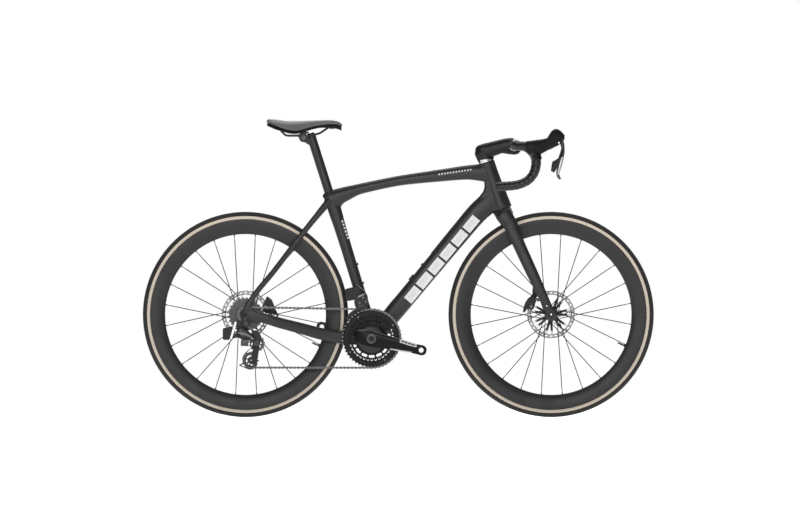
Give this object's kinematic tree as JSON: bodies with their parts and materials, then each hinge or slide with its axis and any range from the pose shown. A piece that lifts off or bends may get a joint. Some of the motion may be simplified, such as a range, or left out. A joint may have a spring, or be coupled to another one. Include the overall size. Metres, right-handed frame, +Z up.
{
  "type": "road bicycle",
  "caption": "Drop-bar road bicycle with disc brakes, deep rims, chain drive with derailleurs, curved top tube and a storage hatch in the down tube.",
  "frame": {"origin": "on the ground, midway between the two axles, in the middle plane of the frame", "axes": "+X forward, +Y towards the rider's left, +Z up"},
  "size_m": [1.702, 0.46, 0.989],
  "materials": {
    "carbon": "satin moulded carbon",
    "rim_carbon": "matte moulded carbon",
    "black_alloy": "black anodised",
    "steel": "brushed",
    "dark_steel": "black coated",
    "chain_steel": "satin",
    "spacer_alloy": "bead blasted",
    "tyre": "black tread, tan sidewall",
    "rubber": "matte",
    "tape": "soft grip tape",
    "plastic": "matte",
    "saddle": "smooth synthetic cover"
  },
  "bodies": {
    "frame": {"frame": "carbon", "right_chainstay": "carbon", "left_chainstay": "carbon", "right_seatstay": "carbon", "left_seatstay": "carbon", "rear_caliper": "black_alloy", "rear_axle": "black_alloy", "front_derailleur_body": "black_alloy", "derailleur_body": "black_alloy", "chain": "chain_steel"},
    "steering": {"fork": "carbon", "headset_spacer": "spacer_alloy", "stem": "black_alloy", "stem_faceplate": "black_alloy", "handlebar": "black_alloy", "right_bar_tape": "tape", "left_bar_tape": "tape", "right_hood": "rubber", "left_hood": "rubber", "front_caliper": "black_alloy", "front_axle": "black_alloy"},
    "front_wheel": {"front_tyre": "tyre", "front_rim": "rim_carbon", "front_right_spokes": "dark_steel", "front_left_spokes": "dark_steel", "front_hub": "black_alloy", "front_rotor": "steel"},
    "rear_wheel": {"rear_tyre": "tyre", "rear_rim": "rim_carbon", "rear_right_spokes": "dark_steel", "rear_left_spokes": "dark_steel", "rear_hub": "black_alloy", "rear_rotor": "steel"},
    "cassette": {"freehub": "black_alloy", "cassette": "steel"},
    "crank": {"right_crank": "carbon", "left_crank": "carbon", "big_chainring": "dark_steel", "small_chainring": "dark_steel"},
    "derailleur_link": {"derailleur_link": "black_alloy"},
    "derailleur_knuckle": {"derailleur_knuckle": "black_alloy"},
    "derailleur_cage": {"derailleur_cage": "steel"},
    "guide_pulley": {"guide_pulley": "plastic"},
    "tension_pulley": {"tension_pulley": "plastic"},
    "front_cage": {"front_derailleur_cage": "steel"},
    "right_lever": {"right_brake_lever": "black_alloy"},
    "left_lever": {"left_brake_lever": "black_alloy"},
    "right_paddle": {"right_shift_paddle": "plastic"},
    "left_paddle": {"left_shift_paddle": "plastic"},
    "front_inner_pad": {"front_inner_pad": "dark_steel"},
    "front_outer_pad": {"front_outer_pad": "dark_steel"},
    "rear_inner_pad": {"rear_inner_pad": "dark_steel"},
    "rear_outer_pad": {"rear_outer_pad": "dark_steel"},
    "seatpost": {"seatpost": "carbon"},
    "saddle_clamp": {"saddle_clamp": "black_alloy"},
    "saddle": {"saddle_rails": "dark_steel", "saddle_shell": "plastic", "saddle_cover": "saddle"},
    "hatch": {"storage_hatch": "plastic"},
    "latch": {"hatch_latch": "black_alloy"}
  },
  "joints": [
    {"name": "steering_turn", "type": "hinge", "parent": "frame", "child": "steering", "pos_m": [0.34393, 0, 0.69254], "axis": [-0.3107, 0, 0.9505], "range_deg": [-60, 60]},
    {"name": "front_wheel_spin", "type": "hinge", "parent": "steering", "child": "front_wheel", "pos_m": [0.509, 0, 0.342], "axis": [0, 1, 0], "continuous": true},
    {"name": "rear_wheel_spin", "type": "hinge", "parent": "frame", "child": "rear_wheel", "pos_m": [-0.509, 0, 0.342], "axis": [0, 1, 0], "continuous": true},
    {"name": "crank_spin", "type": "hinge", "parent": "frame", "child": "crank", "pos_m": [-0.0895, 0, 0.262], "axis": [0, 1, 0], "continuous": true, "deforming": ["chain"]},
    {"name": "cassette_spin", "type": "hinge", "parent": "frame", "child": "cassette", "pos_m": [-0.509, 0, 0.342], "axis": [0, 1, 0], "continuous": true},
    {"name": "derailleur_swing", "type": "hinge", "parent": "frame", "child": "derailleur_link", "pos_m": [-0.525, -0.087, 0.2875], "axis": [0.5572, 0, 0.8304], "range_deg": [-9, 46], "deforming": ["chain"]},
    {"name": "derailleur_parallel", "type": "hinge", "parent": "derailleur_link", "child": "derailleur_knuckle", "pos_m": [-0.487, -0.087, 0.262], "axis": [0.5572, 0, 0.8304], "range_deg": [-46, 9]},
    {"name": "cage_swing", "type": "hinge", "parent": "derailleur_knuckle", "child": "derailleur_cage", "pos_m": [-0.472, -0.0582, 0.246], "axis": [0, 1, 0], "range_deg": [-60, 15], "stiffness_Nm_per_rad": 1.5, "deforming": ["chain"]},
    {"name": "guide_pulley_spin", "type": "hinge", "parent": "derailleur_cage", "child": "guide_pulley", "pos_m": [-0.472, -0.0582, 0.246], "axis": [0, 1, 0], "continuous": true},
    {"name": "tension_pulley_spin", "type": "hinge", "parent": "derailleur_cage", "child": "tension_pulley", "pos_m": [-0.49, -0.0582, 0.19], "axis": [0, 1, 0], "continuous": true},
    {"name": "front_shift", "type": "slide", "parent": "frame", "child": "front_cage", "axis": [0, 1, 0], "range_m": [0, 0.0066], "deforming": ["chain"]},
    {"name": "seatpost_height", "type": "slide", "parent": "frame", "child": "seatpost", "axis": [-0.2924, 0, 0.9563], "range_m": [-0.06, 0.03]},
    {"name": "saddle_tilt", "type": "hinge", "parent": "seatpost", "child": "saddle_clamp", "pos_m": [-0.3155, 0, 0.931], "axis": [0, 1, 0], "range_deg": [-6, 6]},
    {"name": "saddle_slide", "type": "slide", "parent": "saddle_clamp", "child": "saddle", "axis": [1, 0, 0], "range_m": [-0.015, 0.015]},
    {"name": "hatch_lift", "type": "slide", "parent": "frame", "child": "hatch", "axis": [-0.7694, 0, 0.6388], "range_m": [0, 0.05]},
    {"name": "latch_turn", "type": "hinge", "parent": "hatch", "child": "latch", "pos_m": [0.03806, 0, 0.4555], "axis": [0, -1, 0], "range_deg": [0, 70]},
    {"name": "right_brake", "type": "hinge", "parent": "steering", "child": "right_lever", "pos_m": [0.532, -0.207, 0.909], "axis": [0, 1, 0], "range_deg": [0, 20], "stiffness_Nm_per_rad": 3},
    {"name": "right_shift", "type": "hinge", "parent": "right_lever", "child": "right_paddle", "pos_m": [0.53, -0.209, 0.874], "axis": [1, 0, 0], "range_deg": [0, 8], "stiffness_Nm_per_rad": 0.4},
    {"name": "left_brake", "type": "hinge", "parent": "steering", "child": "left_lever", "pos_m": [0.532, 0.207, 0.909], "axis": [0, 1, 0], "range_deg": [0, 20], "stiffness_Nm_per_rad": 3},
    {"name": "left_shift", "type": "hinge", "parent": "left_lever", "child": "left_paddle", "pos_m": [0.53, 0.209, 0.874], "axis": [-1, 0, 0], "range_deg": [0, 8], "stiffness_Nm_per_rad": 0.4},
    {"name": "front_inner_pad_slide", "type": "slide", "parent": "steering", "child": "front_inner_pad", "axis": [0, 1, 0], "range_m": [0, 0.00035]},
    {"name": "front_outer_pad_slide", "type": "slide", "parent": "steering", "child": "front_outer_pad", "axis": [0, -1, 0], "range_m": [0, 0.00035]},
    {"name": "rear_inner_pad_slide", "type": "slide", "parent": "frame", "child": "rear_inner_pad", "axis": [0, 1, 0], "range_m": [0, 0.00035]},
    {"name": "rear_outer_pad_slide", "type": "slide", "parent": "frame", "child": "rear_outer_pad", "axis": [0, -1, 0], "range_m": [0, 0.00035]}
  ],
  "couplings": [
    {"joint": "cassette_spin", "follows": "crank_spin", "ratio": 4},
    {"joint": "guide_pulley_spin", "follows": "crank_spin", "ratio": -4},
    {"joint": "tension_pulley_spin", "follows": "crank_spin", "ratio": 4},
    {"joint": "derailleur_parallel", "follows": "derailleur_swing", "ratio": -1},
    {"joint": "front_inner_pad_slide", "follows": "left_brake", "m_per_rad": 0.001},
    {"joint": "front_outer_pad_slide", "follows": "left_brake", "m_per_rad": 0.001},
    {"joint": "rear_inner_pad_slide", "follows": "right_brake", "m_per_rad": 0.001},
    {"joint": "rear_outer_pad_slide", "follows": "right_brake", "m_per_rad": 0.001}
  ]
}
